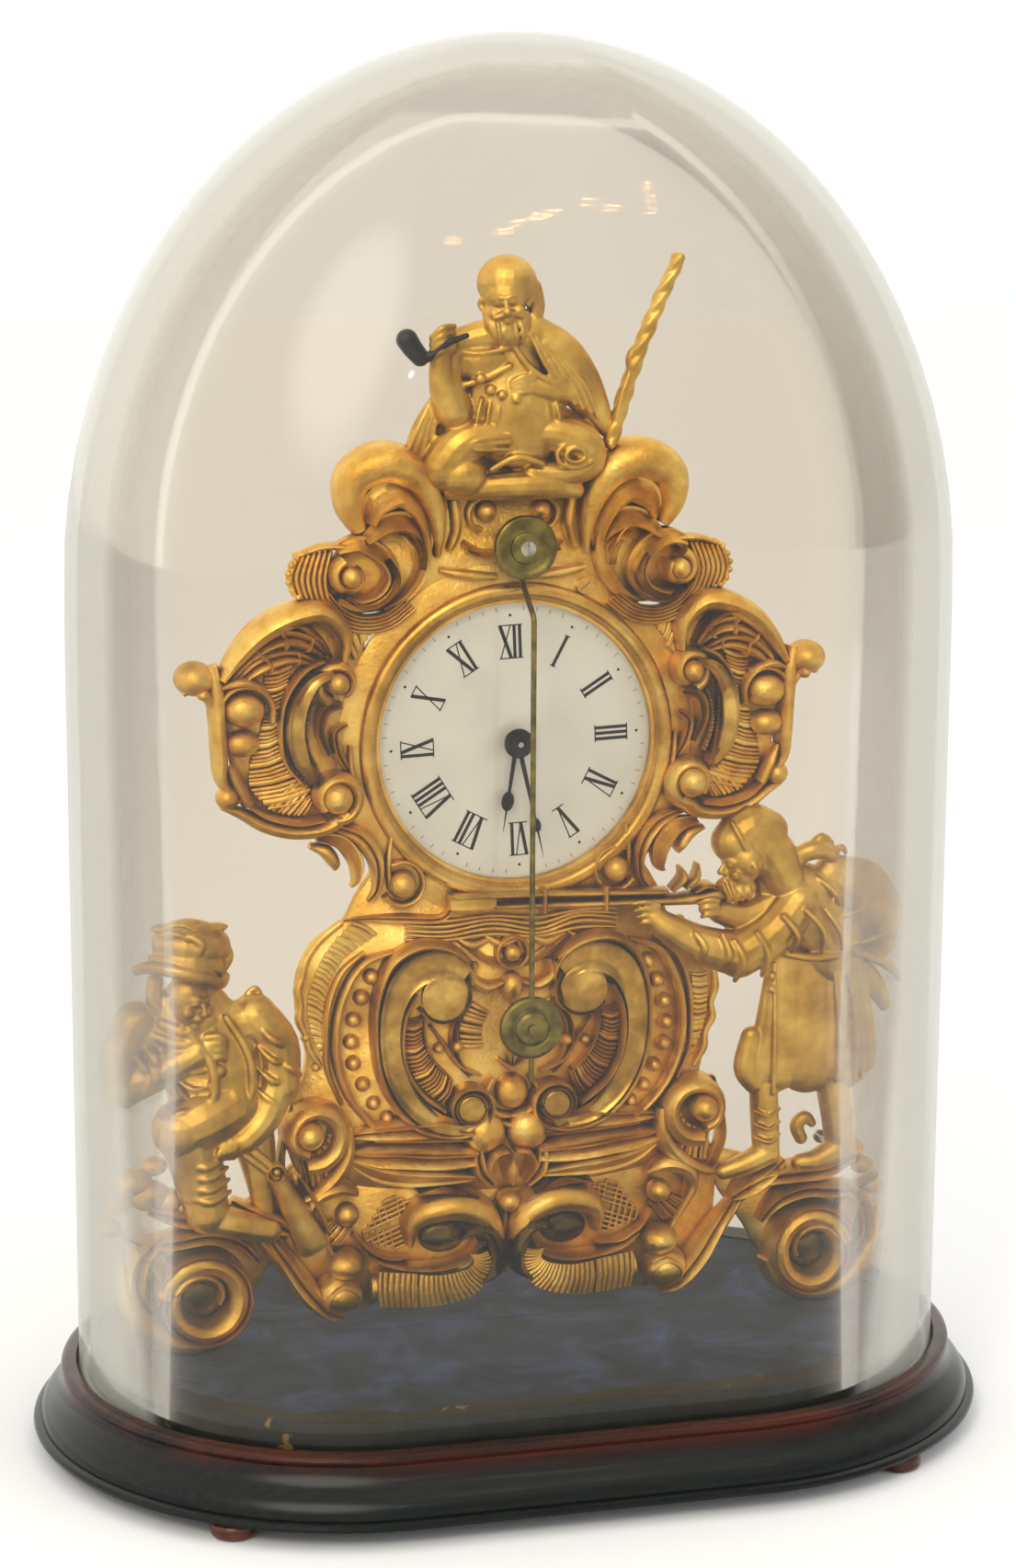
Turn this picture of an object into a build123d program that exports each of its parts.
from build123d import *
from math import atan2, cos, degrees, radians, sin, sqrt
import os

# A gilt pendulum clock under an oval glass bell jar, on an ebonised wooden base.
# Millimetres, +Z up, the clock faces -Y. The origin is at the centre of the base,
# on the surface that the bun feet stand on.

os.makedirs("parts", exist_ok=True)

# ---------------------------------------------------------------- driving sizes
# Plan outlines are stadiums: two half circles joined by straights of this half length.
STRAIGHT = 49.0

GLASS_END_R = 79.6          # outer end radius of the glass
GLASS_WALL = 3.5
GLASS_SHOULDER_Z = 250.0    # the sides are upright below this height
GLASS_TOP_Z = 404.4

BASE_END_R = 93.2           # widest end radius of the base
RIM_END_R = 84.9            # end radius of the rim that keeps the glass in
FOOT_H = 5.0
FOOT_R = 6.6
FOOT_PLACE = (97.0, 71.0)
GROOVE_Z = 20.0             # floor of the groove that the glass stands in
RIM_Z = 24.0
GROOVE_PLAY = 0.7
BOARD_END_R = 74.0
BOARD_TOP_Z = 28.0
VELVET = 1.0
BAND = 0.5                  # thickness of the paper band round the board
BAND_LAP = 8.0              # how far the band lies over the velvet
BOARD_SCREWS = (85.0, 35.0)

FRONT_Y = -4.0              # face of the case front's sheet
SHEET = 3.0
RELIEF_Y = -16.0            # how far the applied figures stand forward

DIAL_Z = 204.4
DIAL_R = 43.0
DIAL_SEEN_R = 40.5
BEZEL_R = 46.6
DIAL_FACE_Y = -1.7
ENAMEL = 0.8
COPPER = 0.4
DIAL_FEET = ((-24.0, 190.0), (24.0, 190.0), (0.0, 236.0))

PIVOT_Z = 261.7             # pendulum arbor
BOB_Z = 123.9
ROD_Y = -22.0               # the rod swings this far in front, clear of the hands
WIRE_Y = -9.5
WIRE_R = 0.8
BOSS_R = 9.2
BOB_R = 9.3

HOUR_ANGLE = 188.6          # clockwise from twelve
MINUTE_ANGLE = 167.0
HOUR_HAND = 26.5
MINUTE_HAND = 35.0

# Movement: two plates behind the dial.
PLATE_FRONT_Y = 6.0
PLATE = 2.0
PLATE_GAP = 18.0
PLATE_HALF_W = 30.0
PLATE_Z = (152.0, 242.0, 272.0)
PLATE_HEAD_HALF_W = 12.0
PIVOT_R = 0.6
RUN = 0.05                  # radial clearance of every running fit
PILLARS = ((-25.5, 157.0), (25.5, 157.0), (-26.0, 238.0), (26.0, 238.0))
CASE_PILLARS = ((-19.5, 249.5), (19.5, 249.5), (-22.0, 160.0), (22.0, 160.0))
CASE_SCREW = (19.5, 249.5)

GREAT_TEETH, CENTRE_LEAVES, GREAT_MODULE = 84, 10, 0.55
CENTRE_TEETH, THIRD_LEAVES, CENTRE_MODULE = 84, 7, 0.52
THIRD_TEETH, ESCAPE_LEAVES, THIRD_MODULE = 78, 6, 0.44
CANNON_LEAVES, MINUTE_TEETH, MINUTE_MODULE = 12, 36, 0.50
MOTION_LEAVES, HOUR_TEETH, HOUR_MODULE = 10, 40, 0.48
ESCAPE_TEETH, ESCAPE_R, ESCAPE_DROP = 31, 10.0, 18.0
RATCHET_TEETH, RATCHET_R = 20, 8.0

FIGURE_SCREWS = ((-96.0, 70.0), (-84.0, 66.0), (97.0, 78.0), (78.0, 80.0), (-8.0, 283.0), (8.0, 283.0))
STAY_X = 36.0
STAY_FOOT_Y = 45.0
STAY_SCREW_Z = 60.0

# ---------------------------------------------------------------- worked out
PLATE_BACK_Y = PLATE_FRONT_Y + PLATE + PLATE_GAP
INSIDE_Y = PLATE_FRONT_Y + PLATE
OUTSIDE_Y = PLATE_BACK_Y + PLATE
SHEET_BACK_Y = FRONT_Y + SHEET
VELVET_Z = BOARD_TOP_Z + VELVET
HALF_TURN = 180.0


def pitch_r(teeth, module):
    """Pitch radius of a wheel."""
    return teeth * module / 2


CENTRE_GAP = pitch_r(GREAT_TEETH + CENTRE_LEAVES, GREAT_MODULE)
THIRD_GAP = pitch_r(CENTRE_TEETH + THIRD_LEAVES, CENTRE_MODULE)
ESCAPE_GAP = pitch_r(THIRD_TEETH + ESCAPE_LEAVES, THIRD_MODULE)
MOTION_GAP = pitch_r(CANNON_LEAVES + MINUTE_TEETH, MINUTE_MODULE)

CENTRE = (0.0, DIAL_Z)
BARREL = (0.0, DIAL_Z - CENTRE_GAP)
ESCAPE = (0.0, PIVOT_Z - ESCAPE_DROP)
THIRD_RISE = (THIRD_GAP**2 - ESCAPE_GAP**2 + (ESCAPE[1] - DIAL_Z) ** 2) / (2 * (ESCAPE[1] - DIAL_Z))
THIRD = (sqrt(THIRD_GAP**2 - THIRD_RISE**2), DIAL_Z + THIRD_RISE)
MOTION = (MOTION_GAP * cos(radians(-45)), DIAL_Z + MOTION_GAP * sin(radians(-45)))


def upright(y):
    """Plane facing the front at depth y: its x is +X, its y is +Z, and it extrudes forward."""
    return Plane.XZ.offset(-y)


def bearing(start, end):
    """Angle in degrees of the line from one arbor to another, on an upright plane."""
    return degrees(atan2(end[1] - start[1], end[0] - start[0]))


def polar(centre, radius, angle):
    """Point at a radius and an angle in degrees from a centre."""
    return (centre[0] + radius * cos(radians(angle)), centre[1] + radius * sin(radians(angle)))


# Half a tooth: reach in modules from the pitch circle, and half width in steps.
TOOTH_FLANK = ((-1.2, 0.28), (0, 0.25), (0.75, 0.11))


def toothed(centre, teeth, module, toward, in_gap, share, y):
    """Face of a toothed wheel with a tooth, or a gap, on the line towards its mate."""
    step = 360 / teeth
    radius = pitch_r(teeth, module)
    start = toward + (step / 2 if in_gap else 0)
    outline = []
    for tooth in range(teeth):
        middle = start + tooth * step
        for side, (reach, half) in zip((-1, -1, -1, 1, 1, 1), TOOTH_FLANK + TOOTH_FLANK[::-1]):
            outline.append(polar(centre, radius + reach * module, middle + side * half * share * step))
    with BuildSketch(upright(y)) as wheel:
        with BuildLine():
            Polyline(*outline, close=True)
        make_face()
    return wheel.sketch


def saw_toothed(centre, teeth, tip_r, root_r, lean, y):
    """Face of a wheel with leaning teeth, such as an escape or a ratchet wheel."""
    step = 360 / teeth
    outline = []
    for tooth in range(teeth):
        outline.append(polar(centre, root_r, tooth * step))
        outline.append(polar(centre, tip_r, (tooth + lean) * step))
        outline.append(polar(centre, tip_r, (tooth + lean + 0.08) * step))
    with BuildSketch(upright(y)) as wheel:
        with BuildLine():
            Polyline(*outline, close=True)
        make_face()
    return wheel.sketch


def discs(places, radius, y):
    """Round faces at several places of an upright plane."""
    with BuildSketch(upright(y)) as faces:
        with Locations(*places):
            Circle(radius)
    return faces.sketch


def spindle(centre, *steps):
    """Turned steps along an arbor, each (front y, back y, radius), added to the open part."""
    for front_y, back_y, radius in steps:
        with Locations((centre[0], (front_y + back_y) / 2, centre[1])):
            Cylinder(radius, back_y - front_y, rotation=(90, 0, 0))


def bore(centres, radius, front_y, back_y):
    """Round holes along Y through the open part."""
    for centre in centres:
        with Locations((centre[0], (front_y + back_y) / 2, centre[1])):
            Cylinder(radius, back_y - front_y, rotation=(90, 0, 0), mode=Mode.SUBTRACT)


def corners(place):
    """The four mirrored places of one place."""
    return [(x * place[0], y * place[1]) for x in (-1, 1) for y in (-1, 1)]


def save(name, part):
    """Label a piece and write it."""
    part.label = name
    export_step(part, f"parts/{name}.step")


# ---------------------------------------------------------------- wooden base
STEP_R = BASE_END_R - 2.2
BEAD_TOP = FOOT_H + 3.0


def plinth_section(x):
    """Half section of the base on the plane across its length: ogee, rim and groove floor."""
    with BuildSketch(Plane.YZ.offset(x)) as section:
        with BuildLine():
            Line((0, FOOT_H), (BASE_END_R - 1, FOOT_H))
            ThreePointArc(
                (BASE_END_R - 1, FOOT_H), (BASE_END_R, FOOT_H + 1.4), (BASE_END_R - 1, BEAD_TOP)
            )
            Line((BASE_END_R - 1, BEAD_TOP), (STEP_R, BEAD_TOP))
            Bezier(
                (STEP_R, BEAD_TOP),
                (STEP_R - 0.6, GROOVE_Z - 5),
                (RIM_END_R + 0.2, BEAD_TOP + 5),
                (RIM_END_R - 0.9, GROOVE_Z + 0.6),
            )
            ThreePointArc(
                (RIM_END_R - 0.9, GROOVE_Z + 0.6),
                (RIM_END_R, GROOVE_Z + 2.4),
                (RIM_END_R - 1.6, RIM_Z),
            )
            Line((RIM_END_R - 1.6, RIM_Z), (GLASS_END_R + GROOVE_PLAY, RIM_Z))
            Line((GLASS_END_R + GROOVE_PLAY, RIM_Z), (GLASS_END_R + GROOVE_PLAY, GROOVE_Z))
            Line((GLASS_END_R + GROOVE_PLAY, GROOVE_Z), (0, GROOVE_Z))
            Line((0, GROOVE_Z), (0, FOOT_H))
        make_face()
    return section.sketch


SOCKET_R, SOCKET_H = 3.0, 8.0
SCREW_R, SCREW_HEAD_R, SCREW_HEAD_H, SCREW_TOP_Z = 2.0, 4.0, 2.2, 25.5
STAY_SCREW_R, STAY_SCREW_END_Z = 1.5, 22.0
STAY_FEET = ((-STAY_X, STAY_FOOT_Y), (STAY_X, STAY_FOOT_Y))

with BuildPart() as base_plinth:
    extrude(plinth_section(-STRAIGHT), amount=2 * STRAIGHT)
    mirror(about=Plane.XZ)
    revolve(plinth_section(STRAIGHT), axis=Axis((STRAIGHT, 0, 0), (0, 0, -1)), revolution_arc=HALF_TURN)
    revolve(plinth_section(-STRAIGHT), axis=Axis((-STRAIGHT, 0, 0), (0, 0, 1)), revolution_arc=HALF_TURN)
    with BuildSketch(Plane.XY.offset(FOOT_H)):
        with Locations(*corners(FOOT_PLACE)):
            Circle(SOCKET_R)
    extrude(amount=SOCKET_H, mode=Mode.SUBTRACT)
    for x, y in corners(BOARD_SCREWS):
        with Locations((x, y, (FOOT_H + GROOVE_Z) / 2)):
            Cylinder(SCREW_R + RUN, GROOVE_Z - FOOT_H, mode=Mode.SUBTRACT)
        with Locations((x, y, FOOT_H + SCREW_HEAD_H / 2)):
            Cone(SCREW_HEAD_R + RUN, SCREW_R + RUN, SCREW_HEAD_H, mode=Mode.SUBTRACT)
save("base_plinth", base_plinth.part)

with BuildPart() as bun_feet:
    for x, y in corners(FOOT_PLACE):
        with Locations((x, y, FOOT_H / 2)):
            Cylinder(FOOT_R, FOOT_H)
    fillet(bun_feet.edges().filter_by(GeomType.CIRCLE), FOOT_H * 0.4)
    for x, y in corners(FOOT_PLACE):
        with Locations((x, y, FOOT_H + SOCKET_H / 2 - 0.5)):
            Cylinder(SOCKET_R - RUN, SOCKET_H - 1)
save("bun_feet", bun_feet.part)

with BuildPart() as platform_board:
    with BuildSketch(Plane.XY.offset(GROOVE_Z)):
        SlotOverall(2 * (STRAIGHT + BOARD_END_R), 2 * BOARD_END_R)
    extrude(amount=BOARD_TOP_Z - GROOVE_Z)
    with BuildSketch(Plane.XY.offset(GROOVE_Z)):
        with Locations(*corners(BOARD_SCREWS)):
            Circle(SCREW_R + RUN)
    extrude(amount=SCREW_TOP_Z - GROOVE_Z + RUN, mode=Mode.SUBTRACT)
    with BuildSketch(Plane.XY.offset(STAY_SCREW_END_Z - RUN)):
        with Locations(*STAY_FEET):
            Circle(STAY_SCREW_R + RUN)
    extrude(amount=BOARD_TOP_Z - STAY_SCREW_END_Z + RUN, mode=Mode.SUBTRACT)
save("platform_board", platform_board.part)

with BuildPart() as board_screws:
    for x, y in corners(BOARD_SCREWS):
        with Locations((x, y, (FOOT_H + SCREW_TOP_Z) / 2)):
            Cylinder(SCREW_R, SCREW_TOP_Z - FOOT_H)
        with Locations((x, y, FOOT_H + SCREW_HEAD_H / 2)):
            Cone(SCREW_HEAD_R, SCREW_R, SCREW_HEAD_H)
        with Locations((x, y, FOOT_H + 0.4)):
            Box(2 * SCREW_HEAD_R, 0.9, 0.8, mode=Mode.SUBTRACT)
save("board_screws", board_screws.part)

with BuildPart() as velvet_cover:
    with BuildSketch(Plane.XY.offset(BOARD_TOP_Z)):
        SlotOverall(2 * (STRAIGHT + BOARD_END_R), 2 * BOARD_END_R)
        with Locations(*STAY_FEET):
            Circle(STAY_SCREW_R + RUN, mode=Mode.SUBTRACT)
    extrude(amount=VELVET)
save("velvet_cover", velvet_cover.part)

with BuildPart() as edge_band:
    with BuildSketch(Plane.XY.offset(GROOVE_Z + 0.5)):
        SlotOverall(2 * (STRAIGHT + BOARD_END_R + BAND), 2 * (BOARD_END_R + BAND))
        SlotOverall(2 * (STRAIGHT + BOARD_END_R), 2 * BOARD_END_R, mode=Mode.SUBTRACT)
    extrude(amount=VELVET_Z - GROOVE_Z - 0.5)
    with BuildSketch(Plane.XY.offset(VELVET_Z)):
        SlotOverall(2 * (STRAIGHT + BOARD_END_R + BAND), 2 * (BOARD_END_R + BAND))
        SlotOverall(
            2 * (STRAIGHT + BOARD_END_R - BAND_LAP), 2 * (BOARD_END_R - BAND_LAP), mode=Mode.SUBTRACT
        )
    extrude(amount=BAND)
save("edge_band", edge_band.part)


# ---------------------------------------------------------------- glass dome
SECTION_ANGLES = (0, 14, 28, 42, 55, 66, 75, 82, 87)
DEPTH_POWER = 2.2           # a little squarer across the depth than an ellipse


def dome_solid(inset):
    """Closed dome of the outer glass, shrunk by a wall all over."""
    half_length = STRAIGHT + GLASS_END_R - inset
    end_r = GLASS_END_R - inset
    rise = GLASS_TOP_Z - inset - GLASS_SHOULDER_Z
    with BuildPart() as dome:
        with BuildSketch(Plane.XY.offset(GROOVE_Z)):
            SlotOverall(2 * half_length, 2 * end_r)
        extrude(amount=GLASS_SHOULDER_Z - GROOVE_Z)
        for angle in SECTION_ANGLES:
            height = sin(radians(angle))
            with BuildSketch(Plane.XY.offset(GLASS_SHOULDER_Z + rise * height)):
                SlotOverall(
                    2 * half_length * cos(radians(angle)),
                    2 * end_r * sqrt(1 - height**DEPTH_POWER),
                )
        loft()
    return dome.part


with BuildPart() as glass_dome:
    add(dome_solid(0))
    add(dome_solid(GLASS_WALL), mode=Mode.SUBTRACT)
save("glass_dome", glass_dome.part)

# ---------------------------------------------------------------- case front
ROUNDS = (                  # x, z and radius of the lobes of the outline
    (0, DIAL_Z, 52), (-36, 274, 12.5), (34, 275, 12), (-49, 253.5, 12), (49, 253.5, 12.5),
    (-58, 253, 9), (-93, 226, 5.5), (89, 226, 4.8), (-84, 191, 3.2), (80.5, 192, 3.2),
    (-33, 163.5, 6), (31, 165, 6), (-58, 92, 11), (57, 90, 11), (-53, 46, 13), (47, 48, 14),
)
OVALS = (                   # x, z, half width and half height
    (-66, 213, 21, 31), (64, 211, 20, 31), (-72, 230, 17, 13), (72, 228, 15, 13),
    (-42, 261, 18, 20), (42, 261, 18, 20), (-77, 170, 8, 20), (-50, 174, 9, 15), (47, 174, 9, 12),
    (0, 121, 63, 34),
)
BLOCKS = (                  # x, z, half width and half height
    (0, 265, 32, 22), (0, 165, 42, 20), (0, 90, 48, 34), (0, 58, 70, 24), (-84, 62, 18, 20),
    (84, 60, 18, 22),
)
OPEN_FOOT = ((-14, 20), (0, 52), (14, 20))

with BuildPart() as case_front:
    with BuildSketch(upright(SHEET_BACK_Y)):
        for x, z, radius in ROUNDS:
            with Locations((x, z)):
                Circle(radius)
        for x, z, half_w, half_h in OVALS:
            with Locations((x, z)):
                Ellipse(half_w, half_h)
        for x, z, half_w, half_h in BLOCKS:
            with Locations((x, z)):
                RectangleRounded(2 * half_w, 2 * half_h, 6)
        with Locations(CENTRE):
            Circle(DIAL_R + 0.4, mode=Mode.SUBTRACT)
        with Locations((0, PIVOT_Z)):
            Circle(3.2, mode=Mode.SUBTRACT)
        with BuildLine():
            Polyline(*OPEN_FOOT, close=True)
        make_face(mode=Mode.SUBTRACT)
    extrude(amount=SHEET)
    with Locations((0, FRONT_Y, VELVET_Z - 20)):
        Box(400, 40, 40, mode=Mode.SUBTRACT)
    bore((CASE_SCREW,), 1.5 + RUN, FRONT_Y - 1, 0)
    bore(FIGURE_SCREWS, 1 + RUN, FRONT_Y - 1, 0)
    bore(((-STAY_X, STAY_SCREW_Z), (STAY_X, STAY_SCREW_Z)), 1.2 + RUN, FRONT_Y + 0.5, 0)
save("case_front", case_front.part)


def mirrored(points, side):
    """The points of an outline, turned to the left or the right."""
    return [(side * x, z) for x, z in points]


FOOT_SCROLL_Y = -14.0
SCROLL_EYE = (92.0, 45.0)
SCROLL_OUTLINE = (
    (60, 40), (66, 31), (80, 29), (104, 29), (113, 36), (117, 48), (116, 62), (108, 76), (98, 85),
    (86, 84), (78, 72), (70, 66), (64, 52),
)


def foot_scroll(side):
    """Corner scroll that the case stands on."""
    with BuildPart() as scroll:
        with BuildSketch(upright(FRONT_Y)):
            with BuildLine():
                Spline(*mirrored(SCROLL_OUTLINE, side), periodic=True)
            make_face()
        extrude(amount=FRONT_Y - FOOT_SCROLL_Y)
        with Locations((side * SCROLL_EYE[0], FOOT_SCROLL_Y, SCROLL_EYE[1])):
            Torus(9.5, 2.2, rotation=(90, 0, 0))
        with Locations((0, FRONT_Y, VELVET_Z - 20)):
            Box(400, 40, 40, mode=Mode.SUBTRACT)
        bore(FIGURE_SCREWS, 1 + RUN, -8, FRONT_Y)
    return scroll.part


for name, side in (("left_foot_scroll", -1), ("right_foot_scroll", 1)):
    with BuildPart() as corner:
        add(foot_scroll(side))
    save(name, corner.part)

# ---------------------------------------------------------------- applied figures
SEATED_BODY = (
    (-102, 134), (-113, 129), (-117, 108), (-107, 100), (-109, 90), (-99, 86.5), (-80, 86.5),
    (-66, 112), (-72, 128), (-86, 135),
)
SEATED_GUN = ((-106, 122), (-102, 125), (-62, 70), (-58, 60), (-65, 55), (-71, 64))
AIMING_BODY = (
    (61, 160), (60, 176), (68, 184), (77, 178), (80, 169), (92, 174), (104, 167), (117, 160),
    (119, 140), (117, 127), (113, 128), (114, 108), (106, 93), (103, 86.5), (94, 86.5), (84, 92),
    (80, 86.5), (73, 86.5), (75, 95), (69, 110), (76, 137), (64, 133), (44, 146), (43, 152),
)
CROWN_BODY = (
    (-26, 288), (-26, 297), (-20, 302), (-18, 316), (-8, 323), (4, 323), (14, 316), (25, 298),
    (23, 288),
)
CROWN_ARM = ((-20, 300), (-24, 314), (-34, 320), (-36, 315), (-27, 309), (-18, 296))
HEAD_Y = -10.0

with BuildPart() as seated_man:
    with BuildSketch(upright(FRONT_Y)):
        with BuildLine():
            Polyline(*SEATED_BODY, close=True)
        make_face()
    extrude(amount=FRONT_Y - RELIEF_Y)
    with Locations((-98, HEAD_Y, 141)):
        Sphere(8)
    with Locations((-98, HEAD_Y, 147)):
        Cylinder(11, 2.5)
    with Locations((-97.5, HEAD_Y, 154)):
        Cone(8, 7, 12)
save("seated_man", seated_man.part)

with BuildPart() as long_gun:
    with BuildSketch(upright(RELIEF_Y)):
        with BuildLine():
            Polyline(*SEATED_GUN, close=True)
        make_face()
    extrude(amount=3)
save("long_gun", long_gun.part)

with BuildPart() as aiming_man:
    with BuildSketch(upright(FRONT_Y)):
        with BuildLine():
            Polyline(*AIMING_BODY, close=True)
        make_face()
    extrude(amount=FRONT_Y - RELIEF_Y)
save("aiming_man", aiming_man.part)

with BuildPart() as crown_figure:
    with BuildSketch(upright(FRONT_Y)):
        with BuildLine():
            Polyline(*CROWN_BODY, close=True)
        make_face()
    extrude(amount=FRONT_Y - RELIEF_Y)
    with BuildSketch(upright(FRONT_Y)):
        with Locations((-1.5, 282)):
            RectangleRounded(50, 13.5, 5)
    extrude(amount=FRONT_Y - RELIEF_Y)
    with BuildSketch(upright(HEAD_Y)):
        with BuildLine():
            Polyline(*CROWN_ARM, close=True)
        make_face()
    extrude(amount=5)
    with Locations((-3, HEAD_Y, 331.5)):
        Sphere(9.5)
    bore(FIGURE_SCREWS, 1 + RUN, -8, FRONT_Y)
save("crown_figure", crown_figure.part)

BRANCH_LOW, BRANCH_HIGH, BRANCH_Y, BRANCH_R = (26, 289), (47, 341), -8.0, 2.1
with BuildPart() as crown_branch:
    branch_run = Vector(BRANCH_HIGH[0] - BRANCH_LOW[0], 0, BRANCH_HIGH[1] - BRANCH_LOW[1])
    with BuildSketch(Plane((BRANCH_LOW[0], BRANCH_Y, BRANCH_LOW[1]), z_dir=branch_run)):
        Circle(BRANCH_R)
    extrude(amount=branch_run.length, taper=0.6)
save("crown_branch", crown_branch.part)

RIFLE_Z, RIFLE_Y = 157.5, -8.0
with BuildPart() as aimed_rifle:
    with BuildSketch(upright(RIFLE_Y)):
        with BuildLine():
            Polyline(
                (42, 158.8), (0, 158.8), (-20, 157.8), (-50, 153.5), (-20, 155.4), (0, 156), (42, 155.4),
                close=True,
            )
        make_face()
        with Locations((-9, RIFLE_Z)):
            Circle(2.4)
    extrude(amount=4)
save("aimed_rifle", aimed_rifle.part)

# ---------------------------------------------------------------- dial and bezel
with BuildPart() as dial_bezel:
    with BuildSketch(Plane.XY.offset(DIAL_Z)):
        with BuildLine():
            Polyline(
                (DIAL_SEEN_R, -2.6), (DIAL_SEEN_R, -1.9), (BEZEL_R, -1.9), (BEZEL_R, -5.4),
                (BEZEL_R - 1.2, -6.6), (BEZEL_R - 3, -7), (DIAL_SEEN_R + 1.8, -6), (DIAL_SEEN_R + 0.7, -3.6),
                close=True,
            )
        make_face()
    revolve(axis=Axis((0, 0, DIAL_Z), (0, 1, 0)))
    with BuildSketch(upright(-1.8)):
        with Locations(CENTRE):
            Circle(BEZEL_R + 1)
            Circle(DIAL_R + 0.4, mode=Mode.SUBTRACT)
    extrude(amount=2.2 + 0.05, mode=Mode.SUBTRACT)
save("dial_bezel", dial_bezel.part)

DIAL_HOLE_R = 3.0
with BuildPart() as dial:
    extrude(discs((CENTRE,), DIAL_R, DIAL_FACE_Y + ENAMEL), amount=ENAMEL)
    bore((CENTRE,), DIAL_HOLE_R, -3, 1)
save("dial", dial.part)

DIAL_BACK_Y = DIAL_FACE_Y + ENAMEL + COPPER
with BuildPart() as dial_backing:
    extrude(discs((CENTRE,), DIAL_R, DIAL_BACK_Y), amount=COPPER)
    for foot in DIAL_FEET:
        spindle(foot, (DIAL_BACK_Y - 0.1, INSIDE_Y + 0.6, 0.8))
    bore((CENTRE,), DIAL_HOLE_R, -3, 1)
save("dial_backing", dial_backing.part)

# ---------------------------------------------------------------- hands
HOUR_PIPE_R, CANNON_R, CENTRE_ARBOR_R = 2.3, 1.5, 0.8


def hand_face(length, spade_at, spade_w, bore_r, hub_r, angle, y):
    """Spade hand on an upright plane, turned clockwise from twelve about the dial's centre."""
    across = (cos(radians(angle)), 0, -sin(radians(angle)))
    with BuildSketch(Plane((0, y, DIAL_Z), x_dir=across, z_dir=(0, -1, 0))) as hand:
        with BuildLine():
            Polyline((-0.75, 0), (-0.35, spade_at), (0, length), (0.35, spade_at), (0.75, 0), close=True)
        make_face()
        with Locations((0, spade_at)):
            Ellipse(spade_w / 2, spade_w * 0.8)
        Circle(hub_r)
        Circle(bore_r, mode=Mode.SUBTRACT)
    return hand.sketch


HAND_T = 0.6
with BuildPart() as hour_hand:
    extrude(hand_face(HOUR_HAND, 17.5, 3.6, HOUR_PIPE_R, 3.5, HOUR_ANGLE, -3.8), amount=HAND_T)
save("hour_hand", hour_hand.part)

with BuildPart() as minute_hand:
    extrude(hand_face(MINUTE_HAND, 25.0, 2.6, CANNON_R, 2.7, MINUTE_ANGLE, -5.3), amount=HAND_T)
save("minute_hand", minute_hand.part)

with BuildPart() as hand_collet:
    spindle(CENTRE, (-6.8, -6.1, 4.3), (-7.6, -6.8, 2.6))
    bore((CENTRE,), CENTRE_ARBOR_R + RUN, -8, -6)
save("hand_collet", hand_collet.part)

# ---------------------------------------------------------------- motion work
LEAF_SHARE, TOOTH_SHARE = 0.74, 0.80
TO_MOTION, FROM_MOTION = bearing(CENTRE, MOTION), bearing(MOTION, CENTRE)
with BuildPart() as cannon_pinion:
    extrude(toothed(CENTRE, CANNON_LEAVES, MINUTE_MODULE, TO_MOTION, True, LEAF_SHARE, 4.6), amount=2.0)
    spindle(CENTRE, (-6.0, 5.2, CANNON_R))
    bore((CENTRE,), CENTRE_ARBOR_R + RUN, -7, 6)
save("cannon_pinion", cannon_pinion.part)

with BuildPart() as minute_wheel:
    extrude(toothed(MOTION, MINUTE_TEETH, MINUTE_MODULE, FROM_MOTION, False, TOOTH_SHARE, 4.2), amount=1.2)
    extrude(toothed(MOTION, MOTION_LEAVES, HOUR_MODULE, FROM_MOTION, True, LEAF_SHARE, 3.2), amount=2.2)
    bore((MOTION,), 0.9 + RUN, 0, 6)
save("minute_wheel", minute_wheel.part)

with BuildPart() as minute_post:
    spindle(MOTION, (0.5, INSIDE_Y - 0.2, 0.9))
save("minute_post", minute_post.part)

with BuildPart() as hour_wheel:
    extrude(toothed(CENTRE, HOUR_TEETH, HOUR_MODULE, TO_MOTION, False, TOOTH_SHARE, 2.2), amount=1.0)
    spindle(CENTRE, (-4.6, 2.3, HOUR_PIPE_R))
    bore((CENTRE,), CANNON_R + RUN, -5, 3)
save("hour_wheel", hour_wheel.part)

# ---------------------------------------------------------------- movement plates
PILLAR_R, TENON_R, NUT_H = 2.5, 1.2, 1.5
BARREL_PIVOT_R, BARREL_ARBOR_R = 1.8, 2.4
COCK_SCREWS = ((-7.0, 268.0), (7.0, 268.0))
CLICK_PIVOT = (-11.5, 190.0)


def plate_blank(y):
    """Movement plate with its tapered head, before its holes."""
    low, shoulder, high = PLATE_Z
    with BuildSketch(upright(y)) as blank:
        with BuildLine():
            Polyline(
                (-PLATE_HALF_W, low), (PLATE_HALF_W, low), (PLATE_HALF_W, shoulder),
                (PLATE_HEAD_HALF_W, high), (-PLATE_HEAD_HALF_W, high), (-PLATE_HALF_W, shoulder),
                close=True,
            )
        make_face()
        fillet(blank.vertices(), 3)
    return blank.sketch


with BuildPart() as front_plate:
    extrude(plate_blank(INSIDE_Y), amount=PLATE)
    bore(PILLARS, TENON_R + RUN, 5, 9)
    bore(DIAL_FEET, 0.8 + RUN, 5, 9)
    bore((THIRD, ESCAPE), PIVOT_R + RUN, 5, 9)
    bore((MOTION,), 0.9 + RUN, 5, 9)
    bore((CENTRE,), 1.2 + RUN, 5, 9)
    bore(((0, PIVOT_Z),), 1.2 + RUN, 5, 9)
    bore((BARREL,), BARREL_PIVOT_R + RUN, 5, 9)
save("front_plate", front_plate.part)

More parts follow.
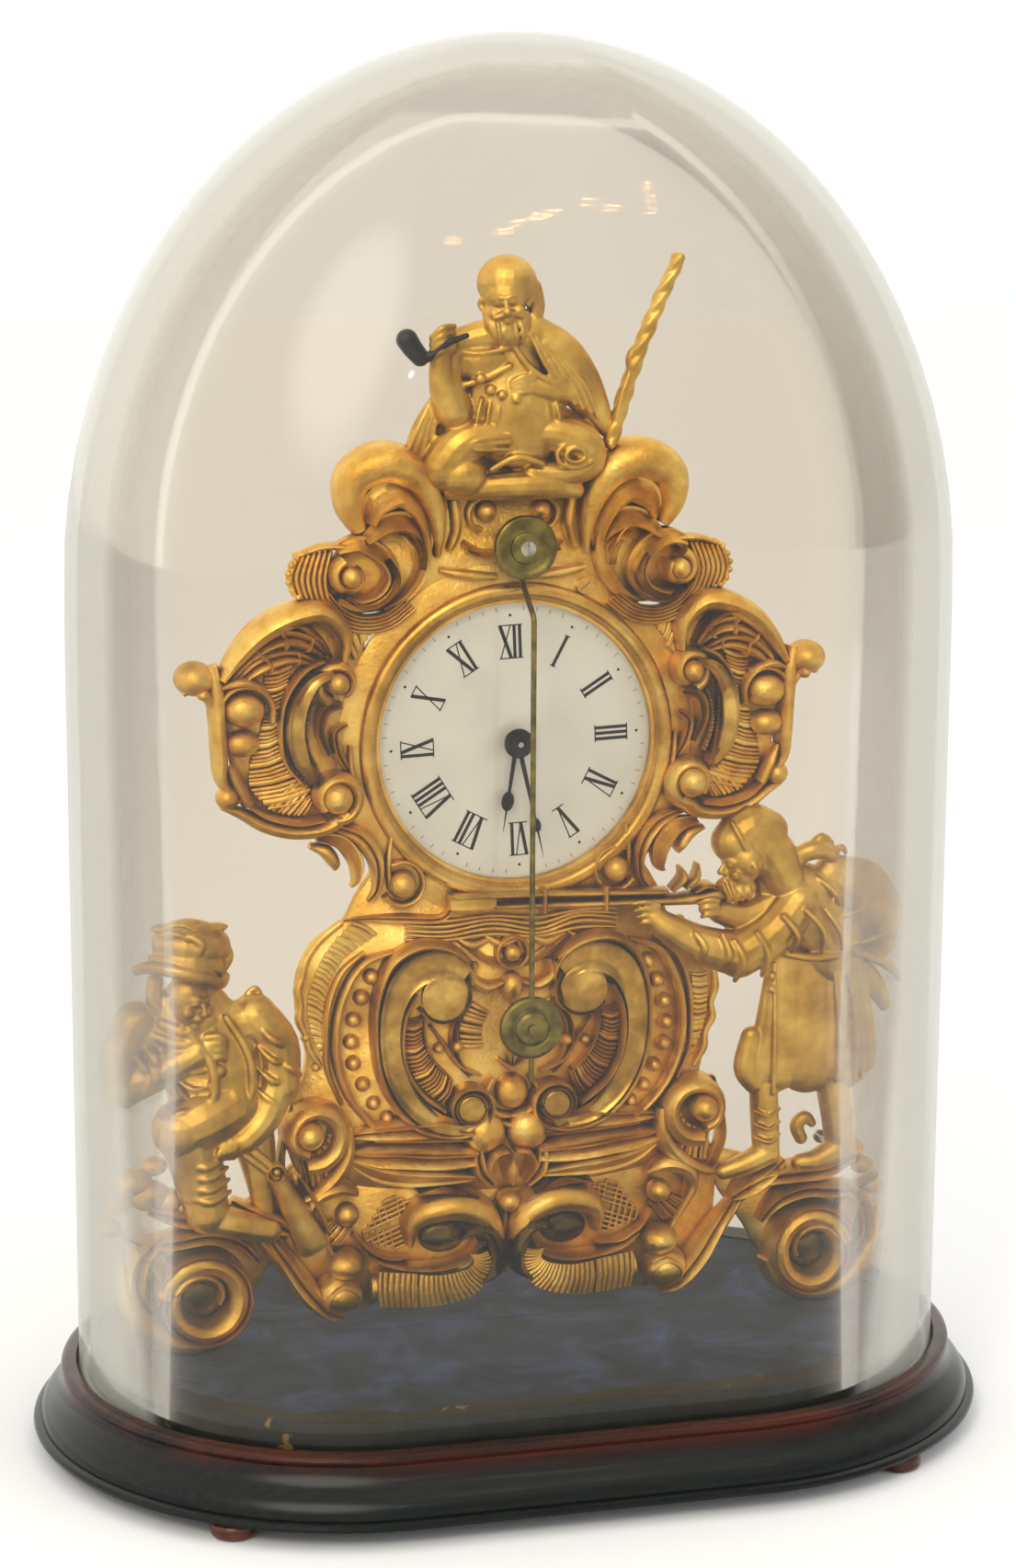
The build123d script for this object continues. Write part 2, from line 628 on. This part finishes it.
with BuildPart() as back_plate:
    extrude(plate_blank(OUTSIDE_Y), amount=PLATE)
    bore(PILLARS, TENON_R + RUN, 25, 29)
    bore((CENTRE, THIRD, ESCAPE), PIVOT_R + RUN, 25, 29)
    bore(((0, PIVOT_Z),), 3.0, 25, 29)
    bore((BARREL,), BARREL_PIVOT_R + RUN, 25, 29)
    bore(COCK_SCREWS, 1.0 + RUN, 25, 29)
    bore((CLICK_PIVOT,), 0.8 + RUN, 25, 29)
save("back_plate", back_plate.part)

with BuildPart() as plate_pillars:
    for place in PILLARS:
        spindle(place, (PLATE_FRONT_Y, OUTSIDE_Y + NUT_H, TENON_R), (INSIDE_Y, PLATE_BACK_Y, PILLAR_R))
save("plate_pillars", plate_pillars.part)

with BuildPart() as pillar_nuts:
    with BuildSketch(upright(OUTSIDE_Y + NUT_H)):
        with Locations(*PILLARS):
            RegularPolygon(2.6, 6)
            Circle(TENON_R + RUN, mode=Mode.SUBTRACT)
    extrude(amount=NUT_H)
save("pillar_nuts", pillar_nuts.part)

with BuildPart() as case_pillars:
    for place in CASE_PILLARS:
        spindle(place, (SHEET_BACK_Y, PLATE_FRONT_Y, 3.0))
    bore((CASE_SCREW,), 1.5 + RUN, -2, 4)
save("case_pillars", case_pillars.part)

with BuildPart() as case_screw:
    spindle(CASE_SCREW, (-6.0, FRONT_Y, 2.3), (FRONT_Y, 3.5, 1.5))
    with Locations((CASE_SCREW[0], -5.8, CASE_SCREW[1])):
        Box(5, 1.0, 0.7, rotation=(0, -40, 0), mode=Mode.SUBTRACT)
save("case_screw", case_screw.part)

# ---------------------------------------------------------------- barrel and winding
GREAT_Y, DRUM_BACK_Y, DRUM_R, DRUM_WALL = 13.6, 24.6, 20.0, 1.2
COVER = 1.0
with BuildPart() as barrel:
    extrude(
        toothed(BARREL, GREAT_TEETH, GREAT_MODULE, bearing(BARREL, CENTRE), False, TOOTH_SHARE, GREAT_Y),
        amount=1.4,
    )
    spindle(BARREL, (GREAT_Y - 0.2, DRUM_BACK_Y, DRUM_R))
    bore((BARREL,), DRUM_R - DRUM_WALL, GREAT_Y + 0.2, DRUM_BACK_Y + 1)
    bore((BARREL,), BARREL_ARBOR_R + RUN, 10, 16)
save("barrel", barrel.part)

with BuildPart() as barrel_cover:
    spindle(BARREL, (DRUM_BACK_Y - COVER, DRUM_BACK_Y, DRUM_R - DRUM_WALL))
    bore((BARREL,), BARREL_ARBOR_R + RUN, 20, 26)
save("barrel_cover", barrel_cover.part)

SPRING_TURNS, SPRING_IN_R, SPRING_OUT_R, SPRING_T = 6, 8.5, 18.3, 0.4
SPRING_STEPS = 24
spring_points = [
    (
        SPRING_IN_R + (SPRING_OUT_R - SPRING_IN_R) * step / (SPRING_TURNS * SPRING_STEPS),
        360 * step / SPRING_STEPS,
    )
    for step in range(SPRING_TURNS * SPRING_STEPS + 1)
]
with BuildPart() as mainspring:
    with BuildSketch(upright(23.0)):
        with BuildLine():
            Polyline(
                *[polar(BARREL, radius, angle) for radius, angle in spring_points],
                *[polar(BARREL, radius - SPRING_T, angle) for radius, angle in reversed(spring_points)],
                close=True,
            )
        make_face()
    extrude(amount=8.6)
save("mainspring", mainspring.part)

with BuildPart() as barrel_arbor:
    spindle(
        BARREL,
        (PLATE_FRONT_Y, 31.0, BARREL_PIVOT_R),
        (INSIDE_Y + 0.2, PLATE_BACK_Y - 0.2, BARREL_ARBOR_R),
        (14.4, 23.0, 6.5),
    )
    with BuildSketch(upright(38.0)):
        with Locations(BARREL):
            Rectangle(2.5, 2.5)
    extrude(amount=8.0)
save("barrel_arbor", barrel_arbor.part)

with BuildPart() as ratchet_wheel:
    extrude(saw_toothed(BARREL, RATCHET_TEETH, RATCHET_R, RATCHET_R - 1.3, 0.85, 30.2), amount=1.6)
    bore((BARREL,), BARREL_PIVOT_R, 27, 31)
save("ratchet_wheel", ratchet_wheel.part)

CLICK_OUTLINE = ((-13.4, 191.2), (-9.6, 190.6), (-6.6, 183.8), (-8.4, 184.6), (-13.2, 188.4))
with BuildPart() as click:
    with BuildSketch(upright(29.8)):
        with BuildLine():
            Polyline(*CLICK_OUTLINE, close=True)
        make_face()
        with Locations(CLICK_PIVOT):
            Circle(2.1)
    extrude(amount=1.3)
    bore((CLICK_PIVOT,), 0.8 + RUN, 27, 31)
save("click", click.part)

with BuildPart() as click_screw:
    spindle(CLICK_PIVOT, (PLATE_BACK_Y, 30.0, 0.8), (30.0, 31.0, 1.7))
save("click_screw", click_screw.part)

SPRING_OUTLINE = (
    (-18, 174), (-14.5, 174), (-14.5, 180), (-15.4, 180), (-15.9, 193.4), (-16.5, 193.4), (-16.6, 180),
    (-18, 180),
)
with BuildPart() as click_spring:
    with BuildSketch(upright(29.6)):
        with BuildLine():
            Polyline(*SPRING_OUTLINE, close=True)
        make_face()
    extrude(amount=1.6)
save("click_spring", click_spring.part)

# ---------------------------------------------------------------- going train
with BuildPart() as centre_arbor:
    spindle(
        CENTRE,
        (-9.0, PLATE_FRONT_Y - 0.6, CENTRE_ARBOR_R),
        (PLATE_FRONT_Y - 0.6, PLATE_BACK_Y - 0.3, 1.2),
        (PLATE_BACK_Y - 0.3, OUTSIDE_Y, PIVOT_R),
    )
    extrude(
        toothed(CENTRE, CENTRE_LEAVES, GREAT_MODULE, bearing(CENTRE, BARREL), True, LEAF_SHARE, 14.4),
        amount=2.6,
    )
save("centre_arbor", centre_arbor.part)


def crossed_wheel(centre, teeth, module, mate, y, thick, hub_r, hole_r):
    """Train wheel with round crossings, on its arbor."""
    middle_r = pitch_r(teeth, module) * 0.58
    with BuildPart() as wheel:
        extrude(
            toothed(centre, teeth, module, bearing(centre, mate), False, TOOTH_SHARE, y), amount=thick
        )
        extrude(
            discs([polar(centre, middle_r, 72 * arm) for arm in range(5)], hole_r, y),
            amount=thick,
            mode=Mode.SUBTRACT,
        )
        bore((centre,), hub_r, y - thick - 1, y + 1)
    return wheel.part


with BuildPart() as centre_wheel:
    add(crossed_wheel(CENTRE, CENTRE_TEETH, CENTRE_MODULE, THIRD, 10.2, 1.2, 1.2, 5.6))
save("centre_wheel", centre_wheel.part)

with BuildPart() as third_arbor:
    spindle(
        THIRD,
        (PLATE_FRONT_Y, OUTSIDE_Y, PIVOT_R),
        (INSIDE_Y + 0.2, PLATE_BACK_Y - 0.2, 1.0),
    )
    extrude(
        toothed(THIRD, THIRD_LEAVES, CENTRE_MODULE, bearing(THIRD, CENTRE), True, LEAF_SHARE, 10.8),
        amount=2.4,
    )
save("third_arbor", third_arbor.part)

with BuildPart() as third_wheel:
    add(crossed_wheel(THIRD, THIRD_TEETH, THIRD_MODULE, ESCAPE, 20.7, 1.2, 1.0, 4.6))
save("third_wheel", third_wheel.part)

with BuildPart() as escape_arbor:
    spindle(
        ESCAPE,
        (PLATE_FRONT_Y, OUTSIDE_Y, PIVOT_R),
        (INSIDE_Y + 0.2, PLATE_BACK_Y - 0.2, 0.8),
    )
    extrude(
        toothed(ESCAPE, ESCAPE_LEAVES, THIRD_MODULE, bearing(ESCAPE, THIRD), True, LEAF_SHARE, 21.4),
        amount=2.6,
    )
save("escape_arbor", escape_arbor.part)

with BuildPart() as escape_wheel:
    extrude(saw_toothed(ESCAPE, ESCAPE_TEETH, ESCAPE_R, ESCAPE_R - 1.8, 0.8, 13.2), amount=1.0)
    extrude(
        discs([polar(ESCAPE, 5.0, 90 * arm) for arm in range(4)], 2.1, 13.2), amount=1.0, mode=Mode.SUBTRACT
    )
    bore((ESCAPE,), 0.8, 11, 14)
save("escape_wheel", escape_wheel.part)

# ---------------------------------------------------------------- escapement and pendulum
PALLET_AXIS = (0.0, PIVOT_Z)
ANCHOR_Y = 15.2
with BuildPart() as anchor:
    with BuildSketch(upright(ANCHOR_Y)):
        with BuildLine():
            Polyline(
                (-2.4, PIVOT_Z + 3), (2.4, PIVOT_Z + 3), (9.6, PIVOT_Z - 4.5), (9.9, PIVOT_Z - 11.5),
                (8.2, PIVOT_Z - 12.6), (7.6, PIVOT_Z - 5.0), (0, PIVOT_Z - 3), (-7.6, PIVOT_Z - 5.0),
                (-7.2, PIVOT_Z - 11.4), (-9.0, PIVOT_Z - 12.8), (-9.6, PIVOT_Z - 4.5), close=True,
            )
        make_face()
    extrude(amount=1.6)
    bore((PALLET_AXIS,), 1.2, 12, 17)
save("anchor", anchor.part)

COCK_BACK_Y = 33.0
with BuildPart() as pallet_arbor:
    spindle(PALLET_AXIS, (-11.6, COCK_BACK_Y - 2.2, 1.2), (COCK_BACK_Y - 2.2, COCK_BACK_Y, PIVOT_R))
save("pallet_arbor", pallet_arbor.part)

with BuildPart() as pallet_cock:
    with BuildSketch(upright(COCK_BACK_Y)):
        with Locations((0, 268)):
            RectangleRounded(20, 7, 1.5)
    extrude(amount=COCK_BACK_Y - OUTSIDE_Y)
    with BuildSketch(upright(COCK_BACK_Y)):
        with Locations((0, 262.5)):
            RectangleRounded(7, 8, 1.5)
    extrude(amount=2)
    bore((PALLET_AXIS,), PIVOT_R + RUN, 30, 34)
    bore(COCK_SCREWS, 1.0 + RUN, 27, 34)
save("pallet_cock", pallet_cock.part)

with BuildPart() as cock_screws:
    for place in COCK_SCREWS:
        spindle(place, (PLATE_BACK_Y, COCK_BACK_Y, 1.0), (COCK_BACK_Y, COCK_BACK_Y + 1.2, 1.9))
        with Locations((place[0], COCK_BACK_Y + 1.1, place[1])):
            Box(4, 0.8, 0.5, mode=Mode.SUBTRACT)
save("cock_screws", cock_screws.part)

BOSS_FRONT_Y, BOSS_BACK_Y = -14.2, -11.2
HUB_BACK_Y = -7.6
JOG_Z = 246.0
with BuildPart() as pendulum_boss:
    spindle(PALLET_AXIS, (BOSS_FRONT_Y, BOSS_BACK_Y, BOSS_R), (BOSS_BACK_Y, HUB_BACK_Y, 3.4))
    fillet(pendulum_boss.edges().filter_by(GeomType.CIRCLE).sort_by(Axis.Y)[0], 1.2)
    spindle(PALLET_AXIS, (BOSS_FRONT_Y - 0.3, BOSS_FRONT_Y + 0.5, 4.6))
    bore((PALLET_AXIS,), 1.2, -11.6, 0)
    bore((PALLET_AXIS,), 1.0, -16, -11.6)
    with Locations((0, WIRE_Y, PIVOT_Z - 2.9)):
        Cylinder(WIRE_R, 2.6, mode=Mode.SUBTRACT)
save("pendulum_boss", pendulum_boss.part)

with BuildPart() as boss_screw:
    spindle(PALLET_AXIS, (-15.6, BOSS_FRONT_Y - 0.3, 2.2), (BOSS_FRONT_Y - 0.3, -11.6, 1.0))
    with Locations((0, -15.4, PIVOT_Z)):
        Box(0.7, 1.0, 6, mode=Mode.SUBTRACT)
save("boss_screw", boss_screw.part)

ROD_LOW_Z = 108.0
with BuildPart() as pendulum_rod:
    with BuildLine() as rod_line:
        FilletPolyline(
            (0, WIRE_Y, PIVOT_Z - 2.0), (0, WIRE_Y, JOG_Z + 5), (0, ROD_Y, JOG_Z - 3), (0, ROD_Y, ROD_LOW_Z),
            radius=3.0,
        )
    with BuildSketch(Plane((0, WIRE_Y, PIVOT_Z - 2.0), z_dir=(0, 0, -1))):
        Circle(WIRE_R)
    sweep(path=rod_line.wires()[0])
save("pendulum_rod", pendulum_rod.part)

BOB_HALF = 1.9
with BuildPart() as pendulum_bob:
    spindle((0, BOB_Z), (ROD_Y - BOB_HALF, ROD_Y + BOB_HALF, BOB_R))
    fillet(pendulum_bob.edges().filter_by(GeomType.CIRCLE), 1.2)
    spindle((0, BOB_Z), (ROD_Y - BOB_HALF - 0.4, ROD_Y, 4.4))
    with Locations((0, ROD_Y, BOB_Z)):
        Cylinder(WIRE_R, 30, mode=Mode.SUBTRACT)
    bore(((0, BOB_Z),), 0.9, ROD_Y - 4, ROD_Y - WIRE_R)
save("pendulum_bob", pendulum_bob.part)

with BuildPart() as bob_screw:
    spindle(
        (0, BOB_Z),
        (ROD_Y - BOB_HALF - 1.1, ROD_Y - BOB_HALF - 0.4, 1.5),
        (ROD_Y - BOB_HALF - 0.4, ROD_Y - WIRE_R, 0.9),
    )
    with Locations((0, ROD_Y - BOB_HALF - 1.0, BOB_Z)):
        Box(4, 0.5, 0.4, rotation=(0, 30, 0), mode=Mode.SUBTRACT)
save("bob_screw", bob_screw.part)

# ---------------------------------------------------------------- stays and their screws
STAY_T, STAY_W = 1.5, 12.0
STAY_TOP_Z = 96.0
STAY_LINE = (
    (SHEET_BACK_Y, 48), (SHEET_BACK_Y, STAY_TOP_Z), (SHEET_BACK_Y + STAY_T, STAY_TOP_Z + 1),
    (STAY_FOOT_Y - 5, VELVET_Z + STAY_T), (STAY_FOOT_Y + 6, VELVET_Z + STAY_T),
    (STAY_FOOT_Y + 6, VELVET_Z), (STAY_FOOT_Y - 6, VELVET_Z), (SHEET_BACK_Y + STAY_T, STAY_TOP_Z - 3),
    (SHEET_BACK_Y + STAY_T, 48),
)
with BuildPart() as back_stays:
    for x in (-STAY_X, STAY_X):
        with BuildSketch(Plane.YZ.offset(x - STAY_W / 2)):
            with BuildLine():
                Polyline(*STAY_LINE, close=True)
            make_face()
        extrude(amount=STAY_W)
    bore(((-STAY_X, STAY_SCREW_Z), (STAY_X, STAY_SCREW_Z)), 1.2 + RUN, -2, 2)
    for x, y in STAY_FEET:
        with Locations((x, y, VELVET_Z)):
            Cylinder(STAY_SCREW_R + RUN, 6, mode=Mode.SUBTRACT)
save("back_stays", back_stays.part)

with BuildPart() as stay_screws:
    for x, y in STAY_FEET:
        with Locations((x, y, (STAY_SCREW_END_Z + VELVET_Z + STAY_T) / 2)):
            Cylinder(STAY_SCREW_R, VELVET_Z + STAY_T - STAY_SCREW_END_Z)
        with Locations((x, y, VELVET_Z + STAY_T + 0.7)):
            Cylinder(3.0, 1.4)
        with Locations((x, y, VELVET_Z + STAY_T + 1.2)):
            Box(7, 0.7, 0.8, mode=Mode.SUBTRACT)
        spindle(
            (x, STAY_SCREW_Z),
            (FRONT_Y + 0.6, SHEET_BACK_Y + STAY_T, 1.2),
            (SHEET_BACK_Y + STAY_T, SHEET_BACK_Y + STAY_T + 1.2, 2.4),
        )
save("stay_screws", stay_screws.part)

with BuildPart() as figure_screws:
    for place in FIGURE_SCREWS:
        spindle(place, (-8.0, SHEET_BACK_Y, 1.0), (SHEET_BACK_Y, SHEET_BACK_Y + 1.2, 2.0))
save("figure_screws", figure_screws.part)
